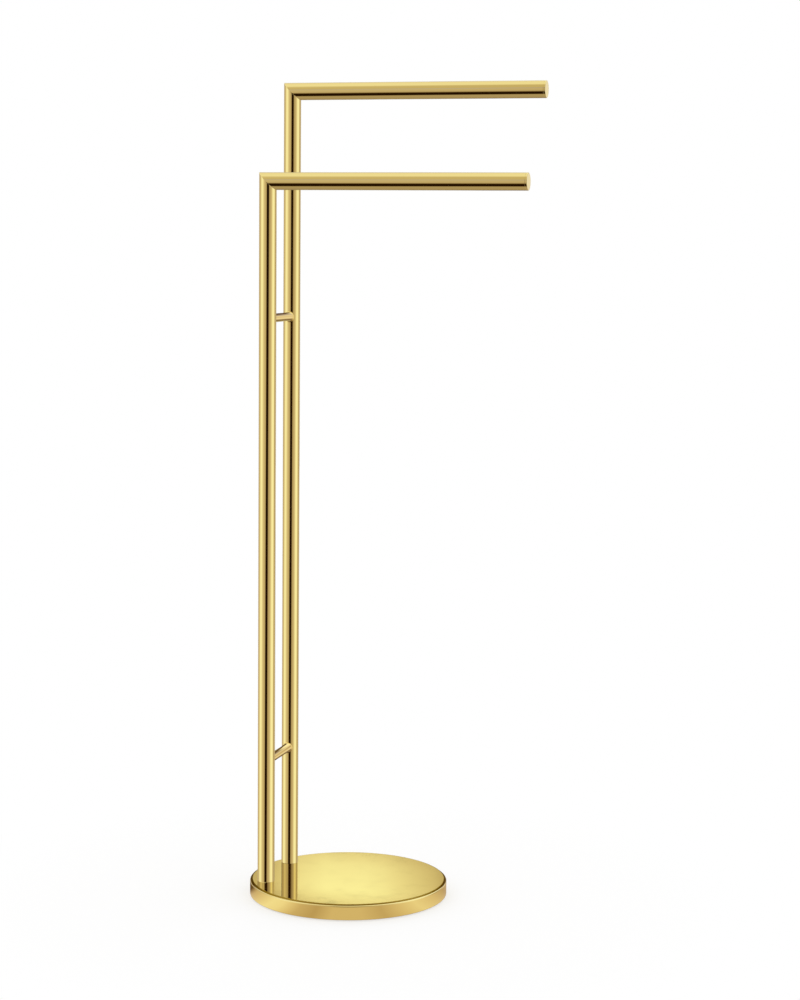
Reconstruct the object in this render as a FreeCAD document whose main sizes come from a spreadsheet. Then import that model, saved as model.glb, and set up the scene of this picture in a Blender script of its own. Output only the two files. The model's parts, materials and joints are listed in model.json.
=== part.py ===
import FreeCAD, Part
import os
import Sketcher
from FreeCAD import Vector

# A freestanding towel stand: two inverted-L frames of round tube, one low and
# one tall, stand side by side on a heavy round base.  Two thin links tie the
# posts together, so that neither frame can turn on its bolt.
#
# Frame of the part: the origin is at the centre of the base, on the floor.
# +X runs along the rails to their free ends, +Y to the taller frame, +Z is up.

DRIVING_SIZES = {
    # Round tube of the posts and rails.
    "tube_diameter": "18",
    "tube_wall": "1.2",
    # Base: a drawn cover folded under a steel weight, on a rubber pad.
    "base_diameter": "210",
    "cover_height": "16.5",
    "cover_wall": "1.2",
    "cover_outer_bend": "1.2",
    "cover_inner_bend": "0.3",
    # The cover's raised plate, and the groove between it and the lower ring.
    "plate_diameter": "206.6",
    "plate_round": "1.1",
    "groove_width": "0.5",
    "groove_depth": "0.7",
    "ring_drop": "1.3",
    "ring_round": "1.1",
    "cover_lip": "5",
    "floor_gap": "1",
    "weight_play": "0.3",
    "weight_bevel": "1",
    "pad_play": "0.5",
    # The two frames.
    "post_setback": "79.5",
    "frame_spacing": "79",
    "front_rail_height": "755",
    "rear_rail_height": "851",
    "rail_reach": "274.5",
    # Caps that close the free ends of the rails.
    "cap_thickness": "2",
    "cap_spigot_length": "8",
    "cap_bevel": "0.4",
    # Links between the posts, with the fillet of their brazed joints.
    "link_diameter": "9",
    "link_fillet": "1.6",
    "upper_link_height": "614",
    "lower_link_height": "147",
    # Threaded plug at the foot of each post.
    "plug_length": "24",
    "plug_bevel": "1",
    "spigot_diameter": "12",
    "spigot_depth": "3",
    "spigot_play": "0.1",
    "thread_depth": "22",
    # M8 button-head screw, spring washer and plain washer under each post.
    "screw_diameter": "8",
    "screw_clearance": "0.5",
    "screw_length": "25",
    "screw_head_diameter": "14",
    "screw_head_height": "4.4",
    "screw_head_round": "3.4",
    "screw_point": "1",
    "socket_width": "5",
    "socket_depth": "2.6",
    "washer_diameter": "16",
    "washer_thickness": "1.6",
    "spring_washer_diameter": "14.8",
    "spring_washer_thickness": "2",
    "spring_washer_split": "1.2",
    "recess_diameter": "18",
    "recess_depth": "6.6",
    "access_hole_diameter": "17",
}

doc = FreeCAD.newDocument("TowelStand")
sheet = doc.addObject("Spreadsheet::Sheet", "Sizes")
for row, (alias, number) in enumerate(DRIVING_SIZES.items(), start=1):
    sheet.set(f"A{row}", alias)
    sheet.set(f"B{row}", number)
    sheet.setAlias(f"B{row}", alias)
doc.recompute()

# Two lengths closer than this are the same, in millimetres.
SAME = 1e-6

# Sizes worked out from the driving ones, as expressions on the sheet.
TUBE_RADIUS = "Sizes.tube_diameter / 2"
TUBE_BORE = "Sizes.tube_diameter - 2 * Sizes.tube_wall"
BASE_RADIUS = "Sizes.base_diameter / 2"
BASE_TOP = "(Sizes.floor_gap + Sizes.cover_height)"
WEIGHT_BOTTOM = "(Sizes.floor_gap + Sizes.cover_wall)"
WEIGHT_TOP = f"({BASE_TOP} - Sizes.cover_wall)"
WEIGHT_RADIUS = f"({BASE_RADIUS} - Sizes.cover_wall - Sizes.weight_play)"
LIP_RADIUS = f"({BASE_RADIUS} - Sizes.cover_lip)"
PLATE_RADIUS = "(Sizes.plate_diameter / 2)"
PLATE_INSIDE = f"({PLATE_RADIUS} - Sizes.cover_wall)"
RING_TOP = f"({BASE_TOP} - Sizes.ring_drop)"
GROOVE_BOTTOM = f"({RING_TOP} - Sizes.groove_depth)"
RING_CEILING = f"({GROOVE_BOTTOM} - Sizes.cover_wall)"
WASHER_TOP = f"({WEIGHT_BOTTOM} + Sizes.recess_depth)"
WASHER_BOTTOM = f"({WASHER_TOP} - Sizes.washer_thickness)"
SCREW_SEAT = f"({WASHER_BOTTOM} - Sizes.spring_washer_thickness)"
SPIGOT_LENGTH = "(Sizes.cover_wall + Sizes.spigot_depth)"
POST_X = "-Sizes.post_setback"
HALF_SPACING = "Sizes.frame_spacing / 2"

# The low frame stands in front (-Y), the tall one behind (+Y).
FRAMES = {
    "front": (f"-{HALF_SPACING}", "Sizes.front_rail_height"),
    "rear": (HALF_SPACING, "Sizes.rear_rail_height"),
}
LINKS = {
    "upper": "Sizes.upper_link_height",
    "lower": "Sizes.lower_link_height",
}


def value(expression):
    """The number of millimetres that an expression on the sheet comes to."""
    return float(sheet.evalExpression(expression))


def new_body(label, x="0", y="0", z="0"):
    """A body for one piece, standing at the given place in the part's frame."""
    body = doc.addObject("PartDesign::Body", label)
    body.Label = label
    for axis, place in (("x", x), ("y", y), ("z", z)):
        body.setExpression(f"Placement.Base.{axis}", place)
    return body


def new_sketch(body, name, role, offset=None):
    """A sketch on one of the body's own origin planes, or parallel to it."""
    sketch = body.newObject("Sketcher::SketchObject", name)
    planes = {feature.Role: feature for feature in body.Origin.OriginFeatures}
    sketch.AttachmentSupport = (planes[role], [""])
    sketch.MapMode = "FlatFace"
    if offset:
        sketch.setExpression("AttachmentOffset.Base.z", offset)
    return sketch


def tie(sketch, geometry, position, x, y):
    """Hold one point of a sketch at x, y, both expressions on the sheet."""
    origin = (-1, 1)
    point = (geometry, position)
    for kind, place, axis in (("DistanceX", x, -2), ("DistanceY", y, -1)):
        distance = value(place)
        if distance == 0:
            sketch.addConstraint(Sketcher.Constraint("PointOnObject", geometry, position, axis))
        elif distance > 0:
            index = sketch.addConstraint(Sketcher.Constraint(kind, *origin, *point, distance))
            sketch.setExpression(f"Constraints[{index}]", place)
        else:
            index = sketch.addConstraint(Sketcher.Constraint(kind, *point, *origin, -distance))
            sketch.setExpression(f"Constraints[{index}]", f"-({place})")


def draw_circle(sketch, diameter, x="0", y="0"):
    """Add a circle whose size and place are bound to the sheet."""
    centre = Vector(value(x), value(y), 0)
    circle = sketch.addGeometry(Part.Circle(centre, Vector(0, 0, 1), value(diameter) / 2))
    index = sketch.addConstraint(Sketcher.Constraint("Diameter", circle, value(diameter)))
    sketch.setExpression(f"Constraints[{index}]", diameter)
    tie(sketch, circle, 3, x, y)


def draw_outline(sketch, points):
    """Add a closed outline of straight lines through the given places."""
    corners = [Vector(value(x), value(y), 0) for x, y in points]
    lines = []
    for start, end in zip(corners, corners[1:] + corners[:1]):
        lines.append(sketch.addGeometry(Part.LineSegment(start, end)))
    for line, following in zip(lines, lines[1:] + lines[:1]):
        sketch.addConstraint(Sketcher.Constraint("Coincident", line, 2, following, 1))
    for line, (x, y) in zip(lines, points):
        tie(sketch, line, 1, x, y)


def pad(body, sketch, length, both_ways=False):
    """Grow the sketch into a solid along its normal, or both ways alike."""
    feature = body.newObject("PartDesign::Pad", f"{sketch.Name}_pad")
    feature.Profile = sketch
    feature.setExpression("Length", length)
    feature.Midplane = both_ways
    doc.recompute()


def cut_through(body, sketch):
    """Cut the sketch's shape through the whole body, both ways."""
    before = body.Shape.Volume
    feature = body.newObject("PartDesign::Pocket", f"{sketch.Name}_cut")
    feature.Profile = sketch
    feature.Type = "ThroughAll"
    feature.Midplane = True
    doc.recompute()
    assert body.Shape.Volume < before, f"{feature.Name} removed nothing"


def cut_upwards(body, sketch, depth):
    """Cut the sketch's shape to a depth along its normal."""
    before = body.Shape.Volume
    feature = body.newObject("PartDesign::Pocket", f"{sketch.Name}_cut")
    feature.Profile = sketch
    feature.Reversed = True
    feature.setExpression("Length", depth)
    doc.recompute()
    assert body.Shape.Volume < before, f"{feature.Name} removed nothing"


def turn(body, points, axis="V_Axis"):
    """Turn an outline round the upright axis, or round the body's X axis."""
    sketch = new_sketch(body, f"{body.Label}_section", "XZ_Plane")
    draw_outline(sketch, points)
    feature = body.newObject("PartDesign::Revolution", f"{body.Label}_turned")
    feature.Profile = sketch
    feature.ReferenceAxis = (sketch, [axis])
    feature.Angle = 360
    doc.recompute()


def round_edges(body, name, radius, chosen):
    """Round the edges of the body that the given test chooses."""
    names = [f"Edge{number}" for number, edge in enumerate(body.Shape.Edges, 1) if chosen(edge)]
    assert names, f"{name} found no edges"
    base = body.Tip
    feature = body.newObject("PartDesign::Fillet", name)
    feature.Base = (base, names)
    feature.setExpression("Radius", radius)
    doc.recompute()


def is_ring(radius, height):
    """A test for circular edges of one radius and height in the part's frame."""
    def test(edge):
        if edge.Curve.TypeId != "Part::GeomCircle":
            return False
        same_radius = abs(edge.Curve.Radius - value(radius)) < SAME
        return same_radius and abs(edge.Curve.Center.z - value(height)) < SAME
    return test


def make_base_cover():
    """Drawn shell that hides the weight, with its rim folded in under it."""
    body = new_body("base_cover")
    inside = f"{BASE_RADIUS} - Sizes.cover_wall"
    ring_inner = f"{PLATE_RADIUS} + Sizes.groove_width"
    turn(body, [
        ("0", WEIGHT_TOP),
        (PLATE_INSIDE, WEIGHT_TOP),
        (PLATE_INSIDE, RING_CEILING),
        (inside, RING_CEILING),
        (inside, WEIGHT_BOTTOM),
        (LIP_RADIUS, WEIGHT_BOTTOM),
        (LIP_RADIUS, "Sizes.floor_gap"),
        (BASE_RADIUS, "Sizes.floor_gap"),
        (BASE_RADIUS, RING_TOP),
        (ring_inner, RING_TOP),
        (ring_inner, GROOVE_BOTTOM),
        (PLATE_RADIUS, GROOVE_BOTTOM),
        (PLATE_RADIUS, BASE_TOP),
        ("0", BASE_TOP),
    ])
    holes = new_sketch(body, "cover_spigot_holes", "XY_Plane")
    for y, _height in FRAMES.values():
        draw_circle(holes, "Sizes.spigot_diameter + 2 * Sizes.spigot_play", POST_X, y)
    cut_through(body, holes)
    round_edges(body, "cover_plate_edge", "Sizes.plate_round", is_ring(PLATE_RADIUS, BASE_TOP))
    round_edges(body, "cover_ring_edge", "Sizes.ring_round", is_ring(BASE_RADIUS, RING_TOP))
    round_edges(body, "cover_rim_fold", "Sizes.cover_outer_bend", is_ring(BASE_RADIUS, "Sizes.floor_gap"))
    round_edges(body, "cover_plate_bend", "Sizes.cover_inner_bend", is_ring(PLATE_INSIDE, WEIGHT_TOP))
    round_edges(body, "cover_ring_bend", "Sizes.cover_inner_bend", is_ring(inside, RING_CEILING))
    return body


def make_base_weight():
    """Steel disc that fills the cover, bored for the screws and the spigots."""
    body = new_body("base_weight")
    bevelled_radius = f"{WEIGHT_RADIUS} - Sizes.weight_bevel"
    step_radius = f"{PLATE_INSIDE} - Sizes.weight_play"
    step_height = f"{RING_CEILING} - Sizes.weight_play"
    turn(body, [
        ("0", WEIGHT_BOTTOM),
        (bevelled_radius, WEIGHT_BOTTOM),
        (WEIGHT_RADIUS, f"{WEIGHT_BOTTOM} + Sizes.weight_bevel"),
        (WEIGHT_RADIUS, f"{step_height} - Sizes.weight_bevel"),
        (bevelled_radius, step_height),
        (step_radius, step_height),
        (step_radius, f"{WEIGHT_TOP} - Sizes.weight_bevel"),
        (f"{step_radius} - Sizes.weight_bevel", WEIGHT_TOP),
        ("0", WEIGHT_TOP),
    ])
    recesses = new_sketch(body, "screw_recesses", "XY_Plane", WEIGHT_BOTTOM)
    clearances = new_sketch(body, "screw_clearances", "XY_Plane")
    sockets = new_sketch(body, "spigot_sockets", "XY_Plane", f"{WEIGHT_TOP} - Sizes.spigot_depth")
    for y, _height in FRAMES.values():
        draw_circle(recesses, "Sizes.recess_diameter", POST_X, y)
        draw_circle(clearances, "Sizes.screw_diameter + 2 * Sizes.screw_clearance", POST_X, y)
        draw_circle(sockets, "Sizes.spigot_diameter + 2 * Sizes.spigot_play", POST_X, y)
    cut_upwards(body, recesses, "Sizes.recess_depth")
    cut_through(body, clearances)
    cut_upwards(body, sockets, "Sizes.spigot_depth")
    return body


def make_base_pad():
    """Rubber disc that the stand rests on, with a hole to reach each screw."""
    body = new_body("base_pad")
    sketch = new_sketch(body, "pad_outline", "XY_Plane")
    draw_circle(sketch, f"2 * ({LIP_RADIUS} - Sizes.pad_play)")
    for y, _height in FRAMES.values():
        draw_circle(sketch, "Sizes.access_hole_diameter", POST_X, y)
    pad(body, sketch, WEIGHT_BOTTOM)
    return body


def make_post(side, y, rail_height):
    """Upright tube, cut at 45 degrees where the rail joins its top."""
    body = new_body(f"{side}_post", POST_X, y, BASE_TOP)
    ring = new_sketch(body, f"{side}_post_ring", "XY_Plane")
    draw_circle(ring, "Sizes.tube_diameter")
    draw_circle(ring, TUBE_BORE)
    corner = f"{rail_height} - {BASE_TOP}"
    pad(body, ring, f"{corner} + {TUBE_RADIUS}")
    mitre = new_sketch(body, f"{side}_post_mitre", "XZ_Plane")
    draw_outline(mitre, [
        ("-Sizes.tube_diameter", f"{corner} + Sizes.tube_diameter"),
        ("Sizes.tube_diameter", f"{corner} - Sizes.tube_diameter"),
        ("Sizes.tube_diameter", f"{corner} + Sizes.tube_diameter"),
    ])
    cut_through(body, mitre)
    return body


def make_rail(side, y, rail_height):
    """Level tube that carries the towel, cut at 45 degrees at the post."""
    body = new_body(f"{side}_rail", POST_X, y, rail_height)
    ring = new_sketch(body, f"{side}_rail_ring", "YZ_Plane", f"-{TUBE_RADIUS}")
    draw_circle(ring, "Sizes.tube_diameter")
    draw_circle(ring, TUBE_BORE)
    pad(body, ring, f"{TUBE_RADIUS} + Sizes.rail_reach - Sizes.cap_thickness")
    mitre = new_sketch(body, f"{side}_rail_mitre", "XZ_Plane")
    draw_outline(mitre, [
        ("-Sizes.tube_diameter", "Sizes.tube_diameter"),
        ("Sizes.tube_diameter", "-Sizes.tube_diameter"),
        ("-Sizes.tube_diameter", "-Sizes.tube_diameter"),
    ])
    cut_through(body, mitre)
    return body


def make_rail_cap(side, y, rail_height):
    """Turned cap, flush with the tube, held by a spigot in its bore."""
    end = f"{POST_X} + Sizes.rail_reach"
    body = new_body(f"{side}_rail_cap", end, y, rail_height)
    spigot_radius = f"({TUBE_BORE}) / 2"
    spigot_end = "-(Sizes.cap_thickness + Sizes.cap_spigot_length)"
    turn(body, [
        ("0", "0"),
        ("0", f"{TUBE_RADIUS} - Sizes.cap_bevel"),
        ("-Sizes.cap_bevel", TUBE_RADIUS),
        ("-Sizes.cap_thickness", TUBE_RADIUS),
        ("-Sizes.cap_thickness", spigot_radius),
        (f"{spigot_end} + Sizes.cap_bevel", spigot_radius),
        (spigot_end, f"{spigot_radius} - Sizes.cap_bevel"),
        (spigot_end, "0"),
    ], axis="H_Axis")
    return body


def make_post_plug(side, y):
    """Threaded plug in the foot of a post, whose spigot centres it on the base."""
    body = new_body(f"{side}_post_plug", POST_X, y, BASE_TOP)
    radius = f"({TUBE_BORE}) / 2"
    thread_radius = "Sizes.screw_diameter / 2"
    thread_end = f"Sizes.thread_depth - {SPIGOT_LENGTH}"
    turn(body, [
        (thread_radius, f"-{SPIGOT_LENGTH}"),
        ("Sizes.spigot_diameter / 2", f"-{SPIGOT_LENGTH}"),
        ("Sizes.spigot_diameter / 2", "0"),
        (radius, "0"),
        (radius, "Sizes.plug_length - Sizes.plug_bevel"),
        (f"{radius} - Sizes.plug_bevel", "Sizes.plug_length"),
        ("0", "Sizes.plug_length"),
        ("0", thread_end),
        (thread_radius, thread_end),
    ])
    return body


def make_post_screw(side, y):
    """Button-head screw that pulls the post down from under the base."""
    body = new_body(f"{side}_post_screw", POST_X, y, SCREW_SEAT)
    head_radius = "Sizes.screw_head_diameter / 2"
    shank_radius = "Sizes.screw_diameter / 2"
    turn(body, [
        ("0", "-Sizes.screw_head_height"),
        (head_radius, "-Sizes.screw_head_height"),
        (head_radius, "0"),
        (shank_radius, "0"),
        (shank_radius, "Sizes.screw_length - Sizes.screw_point"),
        (f"{shank_radius} - Sizes.screw_point", "Sizes.screw_length"),
        ("0", "Sizes.screw_length"),
    ])
    head_bottom = f"{SCREW_SEAT} - Sizes.screw_head_height"
    round_edges(body, f"{side}_screw_dome", "Sizes.screw_head_round", is_ring(head_radius, head_bottom))
    before = body.Shape.Volume
    socket = body.newObject("PartDesign::SubtractivePrism", f"{side}_screw_socket")
    socket.Polygon = 6
    socket.setExpression("Circumradius", "Sizes.socket_width / (2 * cos(30))")
    socket.setExpression("Height", "Sizes.socket_depth")
    socket.setExpression("Placement.Base.z", "-Sizes.screw_head_height")
    doc.recompute()
    assert body.Shape.Volume < before, "the socket removed nothing"
    return body


def make_post_washer(side, y):
    """Plain washer that spreads the screw's pull over the weight."""
    body = new_body(f"{side}_post_washer", POST_X, y, WASHER_BOTTOM)
    sketch = new_sketch(body, f"{side}_washer_ring", "XY_Plane")
    draw_circle(sketch, "Sizes.washer_diameter")
    draw_circle(sketch, "Sizes.screw_diameter + Sizes.screw_clearance")
    pad(body, sketch, "Sizes.washer_thickness")
    return body


def make_post_spring_washer(side, y):
    """Split ring that keeps the screw tight, pressed flat by its head."""
    body = new_body(f"{side}_post_spring_washer", POST_X, y, SCREW_SEAT)
    ring = new_sketch(body, f"{side}_spring_ring", "XY_Plane")
    draw_circle(ring, "Sizes.spring_washer_diameter")
    draw_circle(ring, "Sizes.screw_diameter + Sizes.screw_clearance")
    pad(body, ring, "Sizes.spring_washer_thickness")
    half_split = "Sizes.spring_washer_split / 2"
    split = new_sketch(body, f"{side}_spring_split", "XY_Plane")
    draw_outline(split, [
        ("0", f"-{half_split}"),
        ("Sizes.spring_washer_diameter", f"-{half_split}"),
        ("Sizes.spring_washer_diameter", half_split),
        ("0", half_split),
    ])
    cut_through(body, split)
    return body


def make_link(level, height):
    """Rod between the posts, saddle-cut to fit them and brazed all round."""
    body = new_body(f"{level}_link", POST_X, "0", height)
    rod = new_sketch(body, f"{level}_link_rod", "XZ_Plane")
    draw_circle(rod, "Sizes.link_diameter")
    pad(body, rod, "Sizes.frame_spacing", both_ways=True)
    # Stubs of the posts are added, so that the fillet runs onto their true
    # surface, and then taken out again, which leaves the saddle cuts.
    stubs = new_sketch(body, f"{level}_link_stubs", "XY_Plane")
    saddles = new_sketch(body, f"{level}_link_saddles", "XY_Plane")
    for y, _height in FRAMES.values():
        draw_circle(stubs, "Sizes.tube_diameter", "0", y)
        draw_circle(saddles, "Sizes.tube_diameter", "0", y)
    pad(body, stubs, "2 * Sizes.link_diameter", both_ways=True)

    def is_joint(edge):
        return edge.Curve.TypeId == "Part::GeomBSplineCurve"

    round_edges(body, f"{level}_link_fillet", "Sizes.link_fillet", is_joint)
    cut_through(body, saddles)
    return body


pieces = [make_base_cover(), make_base_weight(), make_base_pad()]
for side, (y, rail_height) in FRAMES.items():
    pieces.append(make_post(side, y, rail_height))
    pieces.append(make_rail(side, y, rail_height))
    pieces.append(make_rail_cap(side, y, rail_height))
    pieces.append(make_post_plug(side, y))
    pieces.append(make_post_screw(side, y))
    pieces.append(make_post_washer(side, y))
    pieces.append(make_post_spring_washer(side, y))
for level, height in LINKS.items():
    pieces.append(make_link(level, height))

doc.recompute()
for item in doc.Objects:
    assert not {"Invalid", "Error"} & set(item.State), f"{item.Name} failed: {item.State}"
for piece in pieces:
    assert not piece.Shape.isNull() and piece.Shape.isValid(), f"{piece.Label} is not a valid solid"
    assert len(piece.Shape.Solids) == 1, f"{piece.Label} is not one solid"

os.makedirs("parts", exist_ok=True)
for piece in pieces:
    piece.Shape.exportStep(f"parts/{piece.Label}.step")
    box = piece.Shape.optimalBoundingBox()
    print(f"{piece.Label}: {piece.Shape.Volume / 1000:.2f} cm3,"
          f" x {box.XMin:.1f} to {box.XMax:.1f},"
          f" y {box.YMin:.1f} to {box.YMax:.1f},"
          f" z {box.ZMin:.1f} to {box.ZMax:.1f}")
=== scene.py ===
# %% [markdown]
# # A freestanding towel stand in polished gold
# The stand is two inverted-L frames of round tube, one low and one tall, on a weighted round base.
# The CAD model holds every piece at its real size. Blender dresses it: mirror-polished metal,
# rubber, zinc and bare steel, in a plain pale studio. The model is loaded first, because every new
# piece takes its place from it.

# %% Load the CAD model
import json
import math

import bmesh
import bpy
from mathutils import Matrix, Vector


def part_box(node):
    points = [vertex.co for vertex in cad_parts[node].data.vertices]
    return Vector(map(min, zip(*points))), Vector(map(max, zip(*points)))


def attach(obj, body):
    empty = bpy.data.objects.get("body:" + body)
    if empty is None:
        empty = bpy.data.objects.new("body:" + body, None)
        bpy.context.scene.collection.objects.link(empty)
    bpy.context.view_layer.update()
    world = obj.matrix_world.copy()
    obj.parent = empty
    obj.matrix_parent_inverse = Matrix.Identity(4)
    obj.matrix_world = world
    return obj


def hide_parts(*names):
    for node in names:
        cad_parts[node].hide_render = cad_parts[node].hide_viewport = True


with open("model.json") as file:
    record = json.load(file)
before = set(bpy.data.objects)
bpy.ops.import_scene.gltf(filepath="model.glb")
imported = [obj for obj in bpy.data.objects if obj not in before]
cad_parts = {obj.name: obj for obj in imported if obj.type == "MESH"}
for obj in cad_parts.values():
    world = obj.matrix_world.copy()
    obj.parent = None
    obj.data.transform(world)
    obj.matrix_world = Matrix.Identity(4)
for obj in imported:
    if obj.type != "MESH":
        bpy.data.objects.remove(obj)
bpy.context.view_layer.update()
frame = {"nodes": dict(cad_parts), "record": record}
MM = 0.001

# %% [markdown]
# ## The camera
# The photograph was taken from a little to the right of straight ahead, at about four fifths of
# the stand's height. A camera could be nudged into place by eye, but one that is fitted to the
# edges of the tubes and of the base is exact. The fit gives a point to look at, an angle round the
# stand, a dip below level, a small roll and a distance. The lens is written for a 36 mm sensor on
# the long side.

# %% Place the camera
CAMERA_TURN = math.radians(15.722)
CAMERA_DIP = math.radians(6.319)
CAMERA_ROLL = math.radians(0.526)
CAMERA_DISTANCE = 2.42269
CAMERA_LENS = 83.43
SENSOR_SIZE = 36
NEAREST, FARTHEST = 0.05, 100
aim = Vector((0.0536, 0, 0.42593))


def camera_axes(turn, dip, roll):
    """The camera's right, up and back directions."""
    level = math.cos(dip)
    back = Vector((math.sin(turn) * level, -math.cos(turn) * level, math.sin(dip)))
    right = (-back).cross(Vector((0, 0, 1))).normalized()
    up = right.cross(-back)
    tilted_right = math.cos(roll) * right + math.sin(roll) * up
    tilted_up = math.cos(roll) * up - math.sin(roll) * right
    return tilted_right, tilted_up, back


right, up, back = camera_axes(CAMERA_TURN, CAMERA_DIP, CAMERA_ROLL)
lens = bpy.data.cameras.new("studio_camera")
lens.lens = CAMERA_LENS
lens.sensor_width = SENSOR_SIZE
lens.clip_start = NEAREST
lens.clip_end = FARTHEST
camera = bpy.data.objects.new("studio_camera", lens)
turned = Matrix((right, up, back)).transposed().to_4x4()
camera.matrix_world = Matrix.Translation(aim + CAMERA_DISTANCE * back) @ turned
bpy.context.collection.objects.link(camera)
bpy.context.scene.camera = camera
bpy.context.scene.view_settings.view_transform = "Standard"
print("camera at", [round(v, 3) for v in camera.matrix_world.translation])

# %% [markdown]
# ## Helpers for nodes
# Every finish is built from nodes. They could be added one by one, with a line for each value and
# each link, but a few short helpers keep that readable: one adds a node and sets its values, and
# the others add a colour ramp from a list of stops, a step of arithmetic and a blend.

# %% Node helpers
WHITE = (1, 1, 1, 1)


def add_node(tree, kind, inputs=None, **settings):
    """Add a node, set its own settings, then link or set its inputs."""
    node = tree.nodes.new(kind)
    for name, setting in settings.items():
        setattr(node, name, setting)
    for name, given in (inputs or {}).items():
        if isinstance(given, bpy.types.NodeSocket):
            tree.links.new(given, node.inputs[name])
        else:
            node.inputs[name].default_value = given
    return node


def add_ramp(tree, factor, stops, interpolation="LINEAR"):
    """A colour ramp through (position, grey or colour) stops, lowest position first."""
    node = add_node(tree, "ShaderNodeValToRGB", {"Fac": factor})
    node.color_ramp.interpolation = interpolation
    elements = node.color_ramp.elements
    elements[0].position, elements[-1].position = stops[0][0], stops[-1][0]
    for position, _tone in stops[1:-1]:
        elements.new(position)
    for element, (_position, tone) in zip(elements, stops):
        colour = (tone,) * 3 if isinstance(tone, (int, float)) else tone
        element.color = (*colour, 1)
    return node.outputs["Color"]


def math_node(tree, operation, first, second=0.0):
    """One step of arithmetic on a value."""
    node = add_node(tree, "ShaderNodeMath", {0: first, 1: second}, operation=operation)
    return node.outputs[0]


def mix_colours(tree, factor, first, second):
    """Blend two colours by a factor."""
    node = add_node(tree, "ShaderNodeMix", {0: factor, 6: first, 7: second}, data_type="RGBA")
    return node.outputs[2]


def new_material(name):
    """An empty node material, its tree and its output node."""
    material = bpy.data.materials.new(name)
    material.use_nodes = True
    material.node_tree.nodes.clear()
    output = add_node(material.node_tree, "ShaderNodeOutputMaterial")
    return material, material.node_tree, output


print("node helpers ready")

# %% [markdown]
# ## Helpers for meshes
# Each piece starts as a bmesh, where operators shape it, and becomes an object once it is
# finished. The object stays at the origin, as the CAD's own do, so that its place is in its mesh.
# Studio cards are made the same way, but only polished metal may see them.

# %% Mesh helpers
ROUND_SEGMENTS = 128
# Two points closer than this are the same.
TOUCHING = 1e-7


def link_mesh(name, bm, smooth_below=None):
    """Turn a bmesh into an object at the origin, smooth up to an angle."""
    mesh = bpy.data.meshes.new(name)
    bm.to_mesh(mesh)
    bm.free()
    if smooth_below is not None:
        mesh.polygons.foreach_set("use_smooth", [True] * len(mesh.polygons))
        mesh.set_sharp_from_angle(angle=math.radians(smooth_below))
    piece = bpy.data.objects.new(name, mesh)
    bpy.context.collection.objects.link(piece)
    return piece


def verts_of(geometry):
    """The vertices among what an operator gives back."""
    return [item for item in geometry if isinstance(item, bmesh.types.BMVert)]


def edges_of(geometry):
    """The edges among what an operator gives back."""
    return [item for item in geometry if isinstance(item, bmesh.types.BMEdge)]


def whole(bm):
    """All the vertices, edges and faces of a bmesh."""
    return bm.verts[:] + bm.edges[:] + bm.faces[:]


def only_in_reflections(card):
    """A studio card that polished metal shows, and nothing else does."""
    card.visible_camera = False
    card.visible_diffuse = False
    card.visible_transmission = False
    card.visible_volume_scatter = False
    card.visible_shadow = False


print("mesh helpers ready")

# %% [markdown]
# ## The light
# A white photo studio could be built from lamps and screens. A plain white world is simpler and
# lights the stand evenly from all sides, so a finish renders about as its colour is written, and
# it is the white background too.

# %% White world
world = bpy.data.worlds.new("white_studio")
world.use_nodes = True
world.node_tree.nodes["Background"].inputs["Color"].default_value = WHITE
world.node_tree.nodes["Background"].inputs["Strength"].default_value = 1
bpy.context.scene.world = world
print("world:", world.name)

# %% [markdown]
# The floor is a pale disc that only keeps the base's soft shadow. It fades into plain white before
# its edge, so that no line shows, and it has no underside, so the stand can also be looked at from
# below.

# %% Floor
FLOOR_RADIUS = 0.46
FLOOR_FADE = 0.30
FLOOR_GLOW = 0.6
# The floor lies a hair below the pad, so that the two never share a plane.
FLOOR_LEVEL = -0.1 * MM

bm = bmesh.new()
on_floor = Matrix.Translation((0, 0, FLOOR_LEVEL))
bmesh.ops.create_circle(
    bm, cap_ends=True, segments=ROUND_SEGMENTS, radius=FLOOR_RADIUS, matrix=on_floor)
floor = link_mesh("floor", bm)
material, tree, output = new_material("pale_floor")
coordinates = add_node(tree, "ShaderNodeTexCoord").outputs["Object"]
distance = add_node(
    tree, "ShaderNodeVectorMath", {0: coordinates}, operation="LENGTH").outputs["Value"]
fade = add_node(tree, "ShaderNodeMapRange", {
    "Value": distance, "From Min": FLOOR_FADE, "From Max": FLOOR_RADIUS, "To Min": FLOOR_GLOW,
}, interpolation_type="SMOOTHSTEP").outputs["Result"]
pale = add_node(tree, "ShaderNodeBsdfDiffuse", {"Color": WHITE}).outputs["BSDF"]
glow = add_node(tree, "ShaderNodeEmission", {"Color": WHITE, "Strength": 1}).outputs["Emission"]
top_side = add_node(tree, "ShaderNodeMixShader", {0: fade, 1: pale, 2: glow}).outputs["Shader"]
underside = add_node(tree, "ShaderNodeBsdfTransparent").outputs["BSDF"]
backfacing = add_node(tree, "ShaderNodeNewGeometry").outputs["Backfacing"]
one_sided = add_node(
    tree, "ShaderNodeMixShader", {0: backfacing, 1: top_side, 2: underside}).outputs["Shader"]
tree.links.new(one_sided, output.inputs["Surface"])
material.cycles.emission_sampling = "NONE"
floor.data.materials.append(material)
floor.visible_glossy = False
print("floor radius", FLOOR_RADIUS)

# %% [markdown]
# ## What the metal mirrors
# Polished metal has no look of its own: it shows the room. In the photograph each tube has a black
# line, warm grey beside it and white further out, so the room is a white one with grey drapes
# either side of the camera and a black gap between them. Lamps and screens could be set up for
# each line, but they would show differently in every tube. A wide surround carries the tones by
# direction instead. It is far larger than the stand, so every tube shows the same line, and only
# reflections see it. Its lists are short and in round numbers, because a mirror finish needs only
# the places where the room turns from light to dark.

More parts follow.
